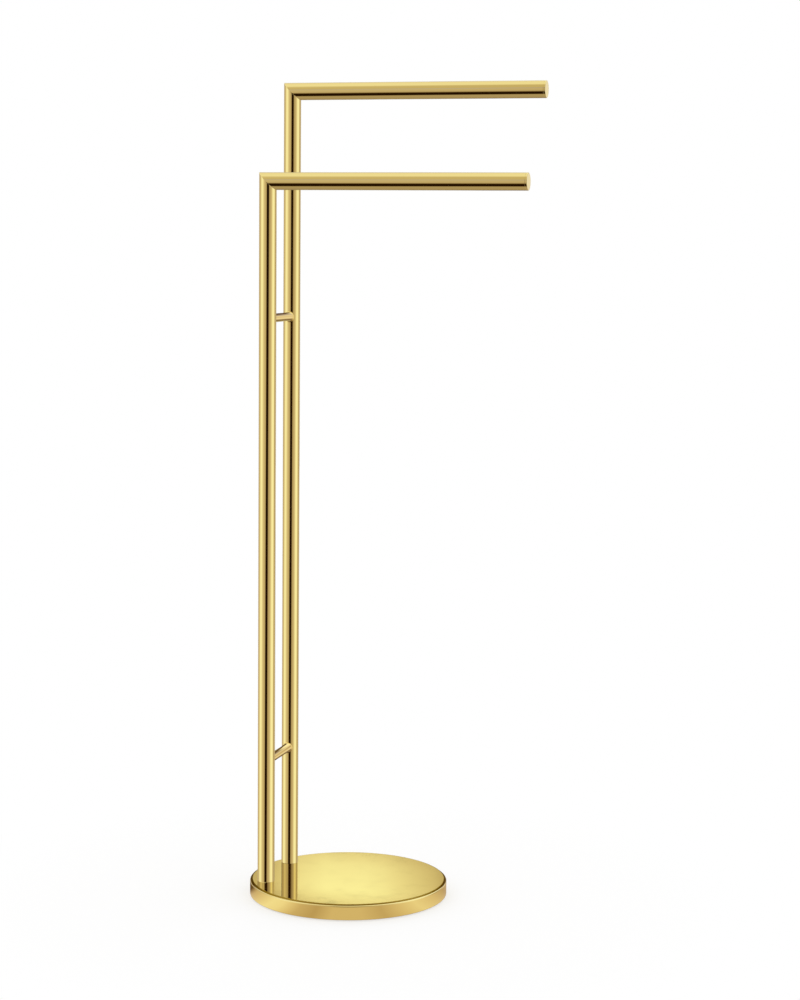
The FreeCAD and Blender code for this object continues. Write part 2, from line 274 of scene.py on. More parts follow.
# %% Tones by direction
# Each list goes round the stand from behind it on the left to behind it on the right, in degrees
# from the camera, and gives a brightness. This one is eye level: white walls at the sides, drapes
# that darken towards the camera, and a black gap.
EYE_LEVEL = [
    (-170, 0.05), (-160, 0.50), (-115, 0.50), (-90, 0.95), (-80, 1.0), (-65, 0.85),
    (-50, 0.60), (-18, 0.40), (-14, 0.0), (13, 0.0), (18, 0.35), (50, 0.55), (65, 0.90),
    (80, 1.0), (95, 0.95), (115, 0.40), (135, 0.35), (145, 0.80), (150, 0.80), (160, 0.15),
    (180, 0.05),
]
# Just above eye level, where the plate of the base, the rails and the links look.
ABOVE = [
    (-160, 0.05), (-125, 0.40), (-100, 0.35), (-80, 0.60), (-60, 0.60), (-45, 0.40),
    (-35, 0.50), (-30, 0.50), (-25, 0.35), (-10, 0.0), (15, 0.0), (25, 0.20), (55, 0.40),
    (85, 0.85), (110, 0.45), (135, 0.30), (145, 0.85), (155, 0.45), (165, 0.15), (180, 0.05),
]
# Higher up, which shows along the upper half of the rails.
HIGHER = [
    (-120, 0.80), (-100, 0.95), (-65, 0.90), (-40, 0.55), (-20, 0.50), (20, 0.50), (40, 0.55),
    (65, 0.90), (100, 1.0),
]
# Below, towards the floor.
BELOW = [(-180, 0.30), (-85, 0.35), (-60, 0.0), (60, 0.0), (85, 0.35), (180, 0.30)]
# Straight up and straight down.
TOP_TONE = 0.85
NADIR_TONE = 0.35
for name, stops in (("eye level", EYE_LEVEL), ("above", ABOVE), ("higher", HIGHER)):
    print(name, len(stops), "stops")

# %% Colours of the tones
# What the darkest tones turn to: black, and a brown at a tenth of full brightness.
BLACK = (0.015, 0.005, 0.0)
DARK_BROWN = (0.14, 0.08, 0.03)
# The tint of a dark grey. It fades as the grey gets brighter.
WARM_TINT = (1.3, 0.9, 0.6)
COOL_TINT = (1.15, 0.9, 1.2)
HIGH_TINT = (1.2, 0.8, 0.25)


def tinted_greys(tint, lightest=(1, 1, 1)):
    """Ramp stops from black to the lightest colour, with a tint that fades on the way."""
    stops = [(0.0, BLACK), (0.1, DARK_BROWN)]
    for tone in (0.2, 0.4, 0.6, 0.8, 1.0):
        pairs = zip(tint, lightest)
        stops.append((tone, tuple(tone * (dark + (light - dark) * tone) for dark, light in pairs)))
    return stops


print("a middle grey of the drapes:", [round(v, 2) for v in tinted_greys(WARM_TINT)[3][1]])

# %% Helpers for directions


def sine_of(degrees):
    """The sine of an angle in degrees."""
    return math.sin(math.radians(degrees))


def angle_stops(stops):
    """Stops by angle, moved to the 0 to 1 of a colour ramp."""
    return [(angle / 360 + 0.5, tone) for angle, tone in stops]


def angle_factor(tree, vector):
    """Angle round the stand from the camera, as 0 to 1, and the sine of the height angle."""
    turned = add_node(tree, "ShaderNodeMapping", {
        "Vector": vector, "Rotation": (0, 0, -CAMERA_TURN),
    }).outputs[0]
    direction = add_node(
        tree, "ShaderNodeVectorMath", {0: turned}, operation="NORMALIZE").outputs[0]
    split = add_node(tree, "ShaderNodeSeparateXYZ", {0: direction})
    towards = math_node(tree, "MULTIPLY", split.outputs["Y"], -1)
    angle = math_node(tree, "ARCTAN2", split.outputs["X"], towards)
    scaled = math_node(tree, "MULTIPLY", angle, 1 / math.tau)
    return math_node(tree, "ADD", scaled, 0.5), split.outputs["Z"]


def height_blend(tree, sine, low, high):
    """0 below one height angle and 1 above another, smooth between."""
    return add_node(tree, "ShaderNodeMapRange", {
        "Value": sine, "From Min": sine_of(low), "From Max": sine_of(high),
    }, interpolation_type="SMOOTHSTEP").outputs["Result"]


def reflected_glow(card, tree, colour):
    """The glow of a card that only reflections see."""
    only_in_reflections(card)
    emission = add_node(tree, "ShaderNodeEmission", {"Color": colour, "Strength": 1})
    return emission.outputs["Emission"]


print("direction helpers ready")

# %% The surround
SURROUND_RADIUS = 60
# The height angles, in degrees, over which one list gives way to the next.
FROM_NADIR = (-70, -60)
TO_EYE_LEVEL = (-36, -15)
TO_ABOVE = (11, 14)
TO_HIGHER = (20, 25)
TO_TOP = (54, 75)
# The lower the eye looks, the farther round the drapes seem turned, between these heights.
DRAPE_SHIFT = 2.5
DRAPE_SKEW = 25
SKEW_LOWEST, SKEW_HIGHEST = -16, 4


def blend_between(tree, sine, heights, first, second):
    """One colour below the first height angle, another above the second."""
    return mix_colours(tree, height_blend(tree, sine, *heights), first, second)


bm = bmesh.new()
bmesh.ops.create_icosphere(bm, subdivisions=4, radius=SURROUND_RADIUS)
surround = link_mesh("studio_surround", bm)
material, tree, output = new_material("studio_surround_tones")
material.cycles.emission_sampling = "NONE"
around, sine = angle_factor(tree, add_node(tree, "ShaderNodeTexCoord").outputs["Object"])
below = add_ramp(tree, around, angle_stops(BELOW))
nadir = (NADIR_TONE, NADIR_TONE, NADIR_TONE, 1)
below = blend_between(tree, sine, FROM_NADIR, nadir, below)
not_above = math_node(tree, "MINIMUM", sine, sine_of(SKEW_HIGHEST))
eye_height = math_node(tree, "MAXIMUM", not_above, sine_of(SKEW_LOWEST))
skew = math_node(tree, "MULTIPLY", eye_height, DRAPE_SKEW / 360)
shift = math_node(tree, "ADD", skew, DRAPE_SHIFT / 360)
shifted = math_node(tree, "SUBTRACT", around, shift)
eye_tone = add_ramp(tree, shifted, angle_stops(EYE_LEVEL))
low_tone = blend_between(tree, sine, TO_EYE_LEVEL, below, eye_tone)
high_tone = add_ramp(tree, around, angle_stops(HIGHER))
high_tone = blend_between(tree, sine, TO_TOP, high_tone, (TOP_TONE, TOP_TONE, TOP_TONE, 1))
colour = add_ramp(tree, low_tone, tinted_greys(WARM_TINT))
above = add_ramp(tree, add_ramp(tree, around, angle_stops(ABOVE)), tinted_greys(COOL_TINT))
colour = blend_between(tree, sine, TO_ABOVE, colour, above)
higher = add_ramp(tree, high_tone, tinted_greys(HIGH_TINT))
colour = blend_between(tree, sine, TO_HIGHER, colour, higher)
tree.links.new(reflected_glow(surround, tree, colour), output.inputs["Surface"])
surround.data.materials.append(material)
print("surround radius", SURROUND_RADIUS)

# %% [markdown]
# ## The floor in front of the rim
# The rim of the base looks down at the floor just in front of it, and nothing else does. The pale
# floor itself could be painted, but then its colours would show to the camera too. A ring just for
# reflections carries what the rim mirrors there: grey towards the camera, pale at the sides.

# %% Floor ring
RING_INSIDE, RING_RADIUS = 0.105, 0.162
# The posts stand too high to see the floor this close, so the ring is clear from farther off.
RING_REACH = 0.062
AROUND_THE_RIM = [
    (-180, 0.55), (-135, 0.50), (-125, 0.10), (-95, 0.10), (-85, 0.50), (-60, 0.85),
    (-50, 0.80), (-35, 0.50), (-22, 0.40), (-10, 0.55), (10, 0.55), (25, 0.45), (40, 0.60),
    (55, 0.75), (75, 0.60), (95, 0.40), (120, 0.50), (180, 0.55),
]
RIM_TINT = (1.45, 0.88, 0.42)
RIM_LIGHTEST = (1.0, 0.99, 0.88)


def only_within(tree, shader, reach):
    """A shader that turns clear for rays that come from farther away than the reach."""
    length = add_node(tree, "ShaderNodeLightPath").outputs["Ray Length"]
    too_far = math_node(tree, "GREATER_THAN", length, reach)
    clear = add_node(tree, "ShaderNodeBsdfTransparent").outputs["BSDF"]
    return add_node(tree, "ShaderNodeMixShader", {0: too_far, 1: shader, 2: clear}).outputs["Shader"]


bm = bmesh.new()
for edge_radius in (RING_INSIDE, RING_RADIUS):
    bmesh.ops.create_circle(bm, segments=ROUND_SEGMENTS, radius=edge_radius, matrix=on_floor)
bmesh.ops.bridge_loops(bm, edges=bm.edges[:])
ring = link_mesh("studio_floor_ring", bm)
material, tree, output = new_material("studio_floor_tones")
material.cycles.emission_sampling = "NONE"
around, _sine = angle_factor(tree, add_node(tree, "ShaderNodeTexCoord").outputs["Object"])
rim_tone = add_ramp(tree, around, angle_stops(AROUND_THE_RIM))
colour = add_ramp(tree, rim_tone, tinted_greys(RIM_TINT, RIM_LIGHTEST))
near_glow = only_within(tree, reflected_glow(ring, tree, colour), RING_REACH)
tree.links.new(near_glow, output.inputs["Surface"])
ring.data.materials.append(material)
print("floor ring radius", RING_RADIUS)

# %% [markdown]
# ## The panel behind the stand
# The flat top of the base mirrors whatever stands low behind it. There it is a soft white panel
# that fades towards its ends, so the plate is brightest in the middle. An even card would leave a
# hard edge in the plate, so this one has its brightness written across and upwards.

# %% Back panel
PANEL_BACK = 1.0
# Its brightness from left to right, and from the bottom up, by places in metres.
ACROSS = [
    (-0.48, 0.45), (-0.44, 0.50), (-0.38, 0.85), (-0.34, 0.95), (-0.28, 0.95), (-0.25, 0.90),
    (-0.17, 0.60), (-0.15, 0.45), (-0.13, 0.40),
]
UPWARDS = [(0.26, 0.70), (0.29, 0.95), (0.33, 1.05), (0.35, 0.85), (0.36, 0.75)]
PANEL_TINT = (1.3, 0.9, 0.4)
PANEL_LIGHTEST = (1.0, 0.99, 0.66)


def place_ramp(tree, value, stops):
    """A ramp whose stops are places in metres."""
    first, last = stops[0][0], stops[-1][0]
    factor = add_node(tree, "ShaderNodeMapRange", {
        "Value": value, "From Min": first, "From Max": last,
    }).outputs[0]
    return add_ramp(tree, factor, [((place - first) / (last - first), tone) for place, tone in stops])


bm = bmesh.new()
(left, _tone), (right_end, _tone) = ACROSS[0], ACROSS[-1]
(bottom, _tone), (top, _tone) = UPWARDS[0], UPWARDS[-1]
middle = Vector(((left + right_end) / 2, PANEL_BACK, (bottom + top) / 2))
upright = Matrix.Rotation(math.pi / 2, 4, "X")
stretched = Matrix.Diagonal(((right_end - left) / 2, (top - bottom) / 2, 1, 1))
place = Matrix.Translation(middle) @ upright @ stretched
bmesh.ops.create_grid(bm, x_segments=1, y_segments=1, size=1, matrix=place)
panel = link_mesh("studio_back_panel", bm)
material, tree, output = new_material("studio_panel_tones")
material.cycles.emission_sampling = "NONE"
coordinates = add_node(tree, "ShaderNodeTexCoord").outputs["Object"]
split = add_node(tree, "ShaderNodeSeparateXYZ", {0: coordinates})
across = place_ramp(tree, split.outputs["X"], ACROSS)
upwards = place_ramp(tree, split.outputs["Z"], UPWARDS)
panel_tone = math_node(tree, "MULTIPLY", across, upwards)
colour = add_ramp(tree, panel_tone, tinted_greys(PANEL_TINT, PANEL_LIGHTEST))
tree.links.new(reflected_glow(panel, tree, colour), output.inputs["Surface"])
panel.data.materials.append(material)
print("back panel at y =", PANEL_BACK)

# %% [markdown]
# ## Polished gold
# The visible metal is gold plate on brass, polished like a mirror. A plain smooth metal would look
# computed, because a real polish isn't perfect: fine draw marks run along a tube and round a
# turned plate, and handling leaves faint patches that are a little less sharp. One node group
# makes both from Object coordinates, stretched along the polishing direction, and puts out a
# roughness and a normal. The colour is even over each piece, so it is set on the shader itself.

# %% Polishing marks, a shared node group
STREAK_SCALE = 900
PATCH_SCALE = 40
# Where the handled patches start and where they are full, in the noise's own values.
HANDLED = [(0.42, 0.0), (0.70, 1.0)]
FINEST_POLISH = 0.012
MARK_DEPTH = 0.1 * MM
POLISH_INPUTS = (
    ("Position", "NodeSocketVector", None), ("Smoothness", "NodeSocketFloat", 0.05),
    ("Haze", "NodeSocketFloat", 0.04), ("Marks", "NodeSocketFloat", 0.02),
)
POLISH_OUTPUTS = (("Roughness", "NodeSocketFloat"), ("Normal", "NodeSocketVector"))


def new_group(name, inputs, outputs):
    """A shader node group with named sockets, and its input and output nodes."""
    group = bpy.data.node_groups.new(name, "ShaderNodeTree")
    for label, kind, value in inputs:
        socket = group.interface.new_socket(label, in_out="INPUT", socket_type=kind)
        if value is not None:
            socket.default_value = value
    for label, kind in outputs:
        group.interface.new_socket(label, in_out="OUTPUT", socket_type=kind)
    return group, group.nodes.new("NodeGroupInput"), group.nodes.new("NodeGroupOutput")


polish, given, result = new_group("polishing_marks", POLISH_INPUTS, POLISH_OUTPUTS)
streaks = add_node(polish, "ShaderNodeTexNoise", {
    "Vector": given.outputs["Position"], "Scale": STREAK_SCALE, "Detail": 4, "Roughness": 0.6,
}).outputs["Fac"]
patches = add_node(polish, "ShaderNodeTexNoise", {
    "Vector": given.outputs["Position"], "Scale": PATCH_SCALE, "Detail": 5, "Roughness": 0.55,
}).outputs["Fac"]
handled = add_ramp(polish, patches, HANDLED, "EASE")
haze = math_node(polish, "MULTIPLY", handled, given.outputs["Haze"])
streaked = math_node(polish, "MULTIPLY", streaks, given.outputs["Smoothness"])
roughness = math_node(polish, "ADD", math_node(polish, "ADD", streaked, haze), FINEST_POLISH)
bump = add_node(polish, "ShaderNodeBump", {
    "Height": streaks, "Strength": given.outputs["Marks"], "Distance": MARK_DEPTH,
})
polish.links.new(roughness, result.inputs["Roughness"])
polish.links.new(bump.outputs["Normal"], result.inputs["Normal"])
print("node group:", polish.name)

# %% Gold finishes
GOLD = (0.98, 0.855, 0.36)
# The rods' gold is deeper: a painted reflection of the gold posts, which stay out of reflections.
DEEPER_GOLD_PAINTED_REFLECTION = (1.0, 0.80, 0.275)
# How far the marks are drawn out along the polishing direction.
TUBE_DRAW, TURNED_DRAW = 0.03, 0.05


def gold_finish(name, stretch, gold=GOLD):
    """Mirror-polished gold whose fine marks run along the given stretch."""
    material, tree, output = new_material(name)
    coordinates = add_node(tree, "ShaderNodeTexCoord").outputs["Object"]
    mapping = add_node(tree, "ShaderNodeMapping", {"Vector": coordinates, "Scale": stretch})
    marks = add_node(tree, "ShaderNodeGroup", node_tree=polish)
    tree.links.new(mapping.outputs["Vector"], marks.inputs["Position"])
    shader = add_node(tree, "ShaderNodeBsdfPrincipled", {
        "Base Color": (*gold, 1), "Metallic": 1,
        "Roughness": marks.outputs["Roughness"], "Normal": marks.outputs["Normal"],
    })
    tree.links.new(shader.outputs["BSDF"], output.inputs["Surface"])
    return material


gold_upright = gold_finish("gold_polished_upright", (1, 1, TUBE_DRAW))
gold_level = gold_finish("gold_polished_level", (TUBE_DRAW, 1, 1))
gold_across = gold_finish("gold_polished_across", (1, TURNED_DRAW, 1))
# The rods' finish carries the painted reflection in its deeper gold.
rod_finish_painted_reflection = gold_finish("rod_gold_with_painted_reflection", (1, TURNED_DRAW, 1), DEEPER_GOLD_PAINTED_REFLECTION)
print("gold finishes:", gold_upright.name, gold_level.name, gold_across.name, rod_finish_painted_reflection.name)

# %% [markdown]
# ## Tubes
# Posts and rails are cut from one size of round tube. The CAD's triangles would show as facets in
# a mirror finish, so each tube is made again. A ring of two circles bridged together is grown
# along the tube, a plane cuts the mitre, and the cut end is closed between its two loops. The
# sharp edges get a bevel a few hundredths of a millimetre wide, because no sawn and polished edge
# is perfectly sharp, and that draws the fine line of each joint. A ring of edges close behind each
# bevel keeps the long faces' shading straight.

# %% Tube helpers
TUBE_WALL = 1.2 * MM
JOINT_BEVEL = 0.04 * MM
HOLD_BACK = 0.4 * MM
# Edges steeper than this, in degrees, are sharp.
SHARP_ANGLE = 30


def tube_size(post):
    """Foot centre, outer radius and top of a post, read from its CAD node."""
    low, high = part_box(post)
    radius = (high.y - low.y) / 2
    return Vector(((low.x + high.x) / 2, (low.y + high.y) / 2, low.z)), radius, high.z


def grow_tube(bm, radius, start, along, length):
    """A round tube with a wall, open ended rings closed by flat faces."""
    turn = along.to_track_quat("Z", "Y").to_matrix().to_4x4()
    place = Matrix.Translation(start) @ turn
    for size in (radius, radius - TUBE_WALL):
        bmesh.ops.create_circle(bm, segments=ROUND_SEGMENTS, radius=size, matrix=place)
    ring = bmesh.ops.bridge_loops(bm, edges=bm.edges[:])["faces"]
    grown = bmesh.ops.extrude_face_region(bm, geom=ring, use_keep_orig=True)["geom"]
    bmesh.ops.translate(bm, verts=verts_of(grown), vec=along * length)
    bmesh.ops.recalc_face_normals(bm, faces=bm.faces[:])


def cut_mitre(bm, corner, away):
    """Cut the tube by the plane through its corner, and close the cut."""
    cut = bmesh.ops.bisect_plane(
        bm, geom=whole(bm), dist=TOUCHING, plane_co=corner, plane_no=away, clear_outer=True)
    bmesh.ops.bridge_loops(bm, edges=edges_of(cut["geom_cut"]))
    bmesh.ops.recalc_face_normals(bm, faces=bm.faces[:])


def hold_flat(bm, point, across):
    """Add a ring of edges near an end, so that its bevel doesn't tilt the long faces' shading."""
    bmesh.ops.bisect_plane(bm, geom=whole(bm), dist=TOUCHING, plane_co=point, plane_no=across)


def soften_ends(bm, width):
    """Bevel the sharp outer edges, where two faces meet at a steep angle."""
    steep = math.radians(SHARP_ANGLE)
    sharp = [e for e in bm.edges if len(e.link_faces) == 2 and e.calc_face_angle() > steep]
    bmesh.ops.bevel(bm, geom=sharp, offset=width, affect="EDGES", segments=2, profile=0.5,
                    material=-1, offset_type="OFFSET")


def add_piece(name, bm, material, nodes):
    """Link a finished piece, give it its finish, and let it stand for its nodes."""
    piece = link_mesh(name, bm, SHARP_ANGLE)
    piece.data.materials.append(material)
    piece.visible_glossy = False
    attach(piece, "root")
    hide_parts(*nodes)
    print(name, len(piece.data.polygons), "faces")
    return piece


print("tube helpers ready")

# %% Posts and rails
UP, ALONG = Vector((0, 0, 1)), Vector((1, 0, 0))
mitre = (ALONG + UP).normalized()
frames = {}
for side in ("front", "rear"):
    foot, radius, top = tube_size(f"{side}_post")
    corner = Vector((foot.x, foot.y, top - radius))
    rail_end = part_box(f"{side}_rail")[1].x
    frames[side] = (foot, radius, corner, rail_end)
    bm = bmesh.new()
    grow_tube(bm, radius, foot, UP, top - foot.z)
    cut_mitre(bm, corner, mitre)
    soften_ends(bm, JOINT_BEVEL)
    hold_flat(bm, corner - HOLD_BACK * mitre, mitre)
    hold_flat(bm, foot + HOLD_BACK * UP, UP)
    add_piece(f"{side}_upright", bm, gold_upright, [f"{side}_post"])
    bm = bmesh.new()
    grow_tube(bm, radius, corner - ALONG * radius, ALONG, rail_end - corner.x + radius)
    cut_mitre(bm, corner, -mitre)
    soften_ends(bm, JOINT_BEVEL)
    hold_flat(bm, corner + HOLD_BACK * mitre, mitre)
    hold_flat(bm, Vector((rail_end - HOLD_BACK, 0, 0)), ALONG)
    add_piece(f"{side}_towel_rail", bm, gold_level, [f"{side}_rail"])

# %% [markdown]
# ## The posts in the plate
# The plate of the base mirrors the feet of both posts, but the rear post shows no image of the
# front one, nor do the links show the posts. So the posts themselves stay out of reflections, and
# a stub just inside each foot stands in for them. It shows only in reflections seen from close by,
# which are the plate's.

# %% Mirror images of the posts
STUB_INSET = 0.15 * MM
STUB_ROUGHNESS = 0.04
# How far each stub's image reaches, and how high the stub is.
STUBS = {"front": (0.055, 30 * MM), "rear": (0.2, 60 * MM)}
for side, (reach, height) in STUBS.items():
    foot, radius, _corner, _rail_end = frames[side]
    bm = bmesh.new()
    grow_tube(bm, radius - STUB_INSET, foot, UP, height)
    stub = link_mesh(f"studio_{side}_post_image", bm, SHARP_ANGLE)
    material, tree, output = new_material(f"studio_{side}_post_gold")
    polished = add_node(tree, "ShaderNodeBsdfGlossy", {
        "Color": (*GOLD, 1), "Roughness": STUB_ROUGHNESS,
    }).outputs["BSDF"]
    tree.links.new(only_within(tree, polished, reach), output.inputs["Surface"])
    stub.data.materials.append(material)
    only_in_reflections(stub)
    print(f"the {side} post's image reaches", reach)

# %% [markdown]
# ## End caps
# Each rail is closed by a turned cap, flush with the tube, whose spigot sits in the bore. A disc
# and a rod could be joined for it, but a half outline spun about the rail's axis makes both in one
# closed shape, as the lathe does, with the small rounding of its front edge.

# %% Spinning an outline


def spin_outline(bm, points, centre, axis, steps):
    """Spin a half outline, given as (along, out) pairs, a full turn about an axis."""
    out = axis.orthogonal().normalized()
    line = [bm.verts.new(centre + axis * a + out * r) for a, r in points]
    edges = [bm.edges.new(pair) for pair in zip(line, line[1:])]
    bmesh.ops.spin(bm, geom=line + edges, cent=centre, axis=axis, angle=math.tau, steps=steps,
                   use_merge=True)
    bmesh.ops.remove_doubles(bm, verts=bm.verts[:], dist=TOUCHING)
    bmesh.ops.recalc_face_normals(bm, faces=bm.faces[:])


print("outline helper ready")

# %% Rail end caps
CAP_BEVEL = 0.4 * MM
CAP_FACE = 2 * MM
CAP_SEAM = 0.1 * MM
# Points of the rounded edge, as shares of its width: back from the face, and in from the side.
CAP_ROUND = [(0.12, 0.62), (0.38, 0.29), (0.62, 0.12)]
for side, (foot, radius, corner, rail_end) in frames.items():
    low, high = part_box(f"{side}_rail_cap")
    bore = radius - TUBE_WALL
    length = high.x - low.x
    centre = Vector((high.x, corner.y, corner.z))
    outline = [(0, 0), (0, radius - 2 * CAP_BEVEL), (0, radius - CAP_BEVEL)]
    outline += [(-back_by * CAP_BEVEL, radius - in_by * CAP_BEVEL) for back_by, in_by in CAP_ROUND]
    outline += [(-CAP_BEVEL, radius), (-2 * CAP_BEVEL, radius), (CAP_SEAM - CAP_FACE, radius)]
    outline += [(-CAP_FACE, radius - CAP_SEAM), (-CAP_FACE, bore), (CAP_BEVEL - length, bore)]
    outline += [(-length, bore - CAP_BEVEL), (-length, 0)]
    bm = bmesh.new()
    spin_outline(bm, outline, centre, ALONG, ROUND_SEGMENTS)
    add_piece(f"{side}_end_cap", bm, gold_across, [f"{side}_rail_cap"])

# %% [markdown]
# ## Links
# Two thin rods tie the posts together. Each end is cut to a saddle that fits the post, and the
# brazed joint leaves a small fillet all round. A boolean cut would give the saddle but no fillet.
# So a ring of vertices is extruded along the rod, and at each end it follows the surface of a ball
# rolled round the joint, which is the true shape of a fillet.

# %% Links between the posts
LINK_SEGMENTS = 64
FILLET_STEPS = 6
ROD_RADIUS = 4.5 * MM


def fillet_point(angle, share, rod, post, ball, middle):
    """A point of the fillet: angle round the rod, share of the way from rod to post."""
    across, height = (rod + ball) * math.cos(angle), (rod + ball) * math.sin(angle)
    away = math.sqrt((post + ball) ** 2 - across ** 2)
    to_rod = Vector((-math.cos(angle), 0, -math.sin(angle)))
    to_post = Vector((-across, away, 0)).normalized()
    towards = to_rod.slerp(to_post, share)
    return Vector((across, middle - away, height)) + ball * towards


def angles_round(ring, centre):
    """The angle round a rod of each vertex of a ring."""
    return [math.atan2((v.co - centre).z, (v.co - centre).x) for v in ring]


foot, post_radius, _corner, _rail_end = frames["rear"]
upright = Matrix.Rotation(math.pi / 2, 4, "X")
for level in ("upper", "lower"):
    low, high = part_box(f"{level}_link")
    ball = (high.z - low.z) / 2 - ROD_RADIUS
    centre = Vector((foot.x, 0, (low.z + high.z) / 2))
    bm = bmesh.new()
    across_rod = Matrix.Translation(centre) @ upright
    bmesh.ops.create_circle(bm, segments=LINK_SEGMENTS, radius=ROD_RADIUS, matrix=across_rod)
    ring_edges, ring = bm.edges[:], bm.verts[:]
    angles = angles_round(ring, centre)
    for step in range(FILLET_STEPS + 1):
        if step:
            grown = bmesh.ops.extrude_edge_only(bm, edges=ring_edges)["geom"]
            ring_edges, ring = edges_of(grown), verts_of(grown)
            angles = angles_round(ring, centre)
        share = step / FILLET_STEPS
        for vertex, angle in zip(ring, angles):
            point = fillet_point(angle, share, ROD_RADIUS, post_radius, ball, foot.y)
            vertex.co = centre + point
    bmesh.ops.contextual_create(bm, geom=ring_edges)
    bmesh.ops.mirror(bm, geom=whole(bm), matrix=Matrix.Identity(4), merge_dist=-1, axis="Y")
    bmesh.ops.bridge_loops(bm, edges=[e for e in bm.edges if e.is_boundary])
    bmesh.ops.remove_doubles(bm, verts=bm.verts[:], dist=TOUCHING)
    bmesh.ops.recalc_face_normals(bm, faces=bm.faces[:])
    first = fillet_point(0, 0, ROD_RADIUS, post_radius, ball, foot.y).y - HOLD_BACK
    for end in (first, -first):
        hold_flat(bm, Vector((0, end, 0)), Vector((0, 1, 0)))
    # The tie rods take the gold with the painted reflection.
    add_piece(f"{level}_tie_rod", bm, rod_finish_painted_reflection, [f"{level}_link"])

# %% [markdown]
# ## The base
# The cover is drawn from sheet: a flat plate with a rounded edge, a narrow groove, a lower ring
# round it, and a lip folded in under the weight. It could be put together from discs, but one
# outline spun round the upright axis gives the sheet its wall and all its bends at once. Extra
# points close to each bend keep the plate truly flat where it mirrors the room. A polishing wheel
# reaches neither into the groove nor down the plate's rounded edge beside it, so both stay duller
# and browner than the rest, and their colour is also darkened as painted shade, which draws the
# dark line round the plate.

# %% The groove's dull finish, with painted shade
RESIDUE_SCALE = 1500
RESIDUE_DEPTH = 0.05 * MM
RESIDUE_LOW, RESIDUE_HIGH = 0.3, 0.7
groove_finish_with_painted_shade, tree, output = new_material("gold_groove_unpolished_painted_shade")
coordinates = add_node(tree, "ShaderNodeTexCoord").outputs["Object"]
residue = add_node(tree, "ShaderNodeTexNoise", {
    "Vector": coordinates, "Scale": RESIDUE_SCALE, "Detail": 3,
}).outputs["Fac"]
# Brown gold for the unpolished metal, kept this dark as painted shade in the groove.
unpolished_and_shade_colour = add_ramp(
    tree, residue, [(RESIDUE_LOW, (0.32, 0.21, 0.025)), (RESIDUE_HIGH, (0.46, 0.31, 0.045))])
dullness = add_ramp(tree, residue, [(RESIDUE_LOW, 0.26), (RESIDUE_HIGH, 0.42)])
grain = add_node(tree, "ShaderNodeBump", {
    "Height": residue, "Strength": 0.3, "Distance": RESIDUE_DEPTH,
}).outputs["Normal"]
# A dark specular tint keeps the groove's grazing reflections dark too, more painted shade.
shader = add_node(tree, "ShaderNodeBsdfPrincipled", {
    "Base Color": unpolished_and_shade_colour, "Metallic": 1, "Roughness": dullness, "Normal": grain,
    "Specular Tint": (0.1, 0.1, 0.1, 1),
})
tree.links.new(shader.outputs["BSDF"], output.inputs["Surface"])
print("groove finish:", groove_finish_with_painted_shade.name)

# %% Sizes of the base cover
BASE_SEGMENTS = 256
COVER_WALL = 1.2 * MM
COVER_BEND = 1.2 * MM
COVER_LIP = 5 * MM
PLATE_RADIUS = 103.3 * MM
PLATE_ROUND = 1.1 * MM
GROOVE_WIDTH = 0.5 * MM
GROOVE_DEPTH = 0.7 * MM
RING_DROP = 1.3 * MM
RING_ROUND = 1.1 * MM
BEND_STEPS = 10
# Extra points this close to a bend, and this far in on the plate, keep the flats flat.
NEAR = 0.1 * MM
PLATE_HOLD = 3 * MM
low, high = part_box("base_cover")
base_radius, base_top, base_foot = high.x, high.z, low.z
flat_radius = PLATE_RADIUS - PLATE_ROUND
ring_top = base_top - RING_DROP
ring_inner = PLATE_RADIUS + GROOVE_WIDTH
groove_bottom = ring_top - GROOVE_DEPTH
inner_radius = base_radius - COVER_WALL
plate_inside = PLATE_RADIUS - COVER_WALL
lip_radius = base_radius - COVER_LIP
ceiling, ring_ceiling = base_top - COVER_WALL, groove_bottom - COVER_WALL
lip_top = base_foot + COVER_WALL
print("base radius and height in mm:", round(base_radius / MM, 2), round(base_top / MM, 2))

# %% Base cover
# The share of the plate's rounded edge that the polishing wheel still reaches; the rest takes the
# groove's finish with its painted shade.
POLISHED_SHARE = 0.1


def bend_points(centre_out, centre_up, radius, start, end, steps):
    """Points (up, out) of a bend round a centre, between two angles."""
    points = []
    for step in range(steps + 1):
        angle = math.radians(start + (end - start) * step / steps)
        up_by, out_by = radius * math.sin(angle), radius * math.cos(angle)
        points.append((centre_up + up_by, centre_out + out_by))
    return points


outline = [(base_top, 0), (base_top, flat_radius - PLATE_HOLD), (base_top, flat_radius - NEAR)]
outline += bend_points(flat_radius, base_top - PLATE_ROUND, PLATE_ROUND, 90, 0, BEND_STEPS)
outline += [(base_top - PLATE_ROUND - NEAR, PLATE_RADIUS), (groove_bottom, PLATE_RADIUS)]
outline += [(groove_bottom, ring_inner), (ring_top - NEAR, ring_inner)]
outline += [(ring_top, ring_inner + NEAR)]
outline += bend_points(
    base_radius - RING_ROUND, ring_top - RING_ROUND, RING_ROUND, 90, 0, BEND_STEPS)
outline += [(ring_top - RING_ROUND - NEAR, base_radius)]
outline += [(base_foot + COVER_BEND + NEAR, base_radius)]
outline += bend_points(
    base_radius - COVER_BEND, base_foot + COVER_BEND, COVER_BEND, 0, -90, BEND_STEPS)
outline += [(base_foot, lip_radius), (lip_top, lip_radius), (lip_top, inner_radius)]
outline += [(ring_ceiling, inner_radius), (ring_ceiling, plate_inside)]
outline += [(ceiling, plate_inside), (ceiling, 0)]
bm = bmesh.new()
spin_outline(bm, outline, Vector((0, 0, 0)), UP, BASE_SEGMENTS)
unpolished_and_shade_from = flat_radius + POLISHED_SHARE * PLATE_ROUND
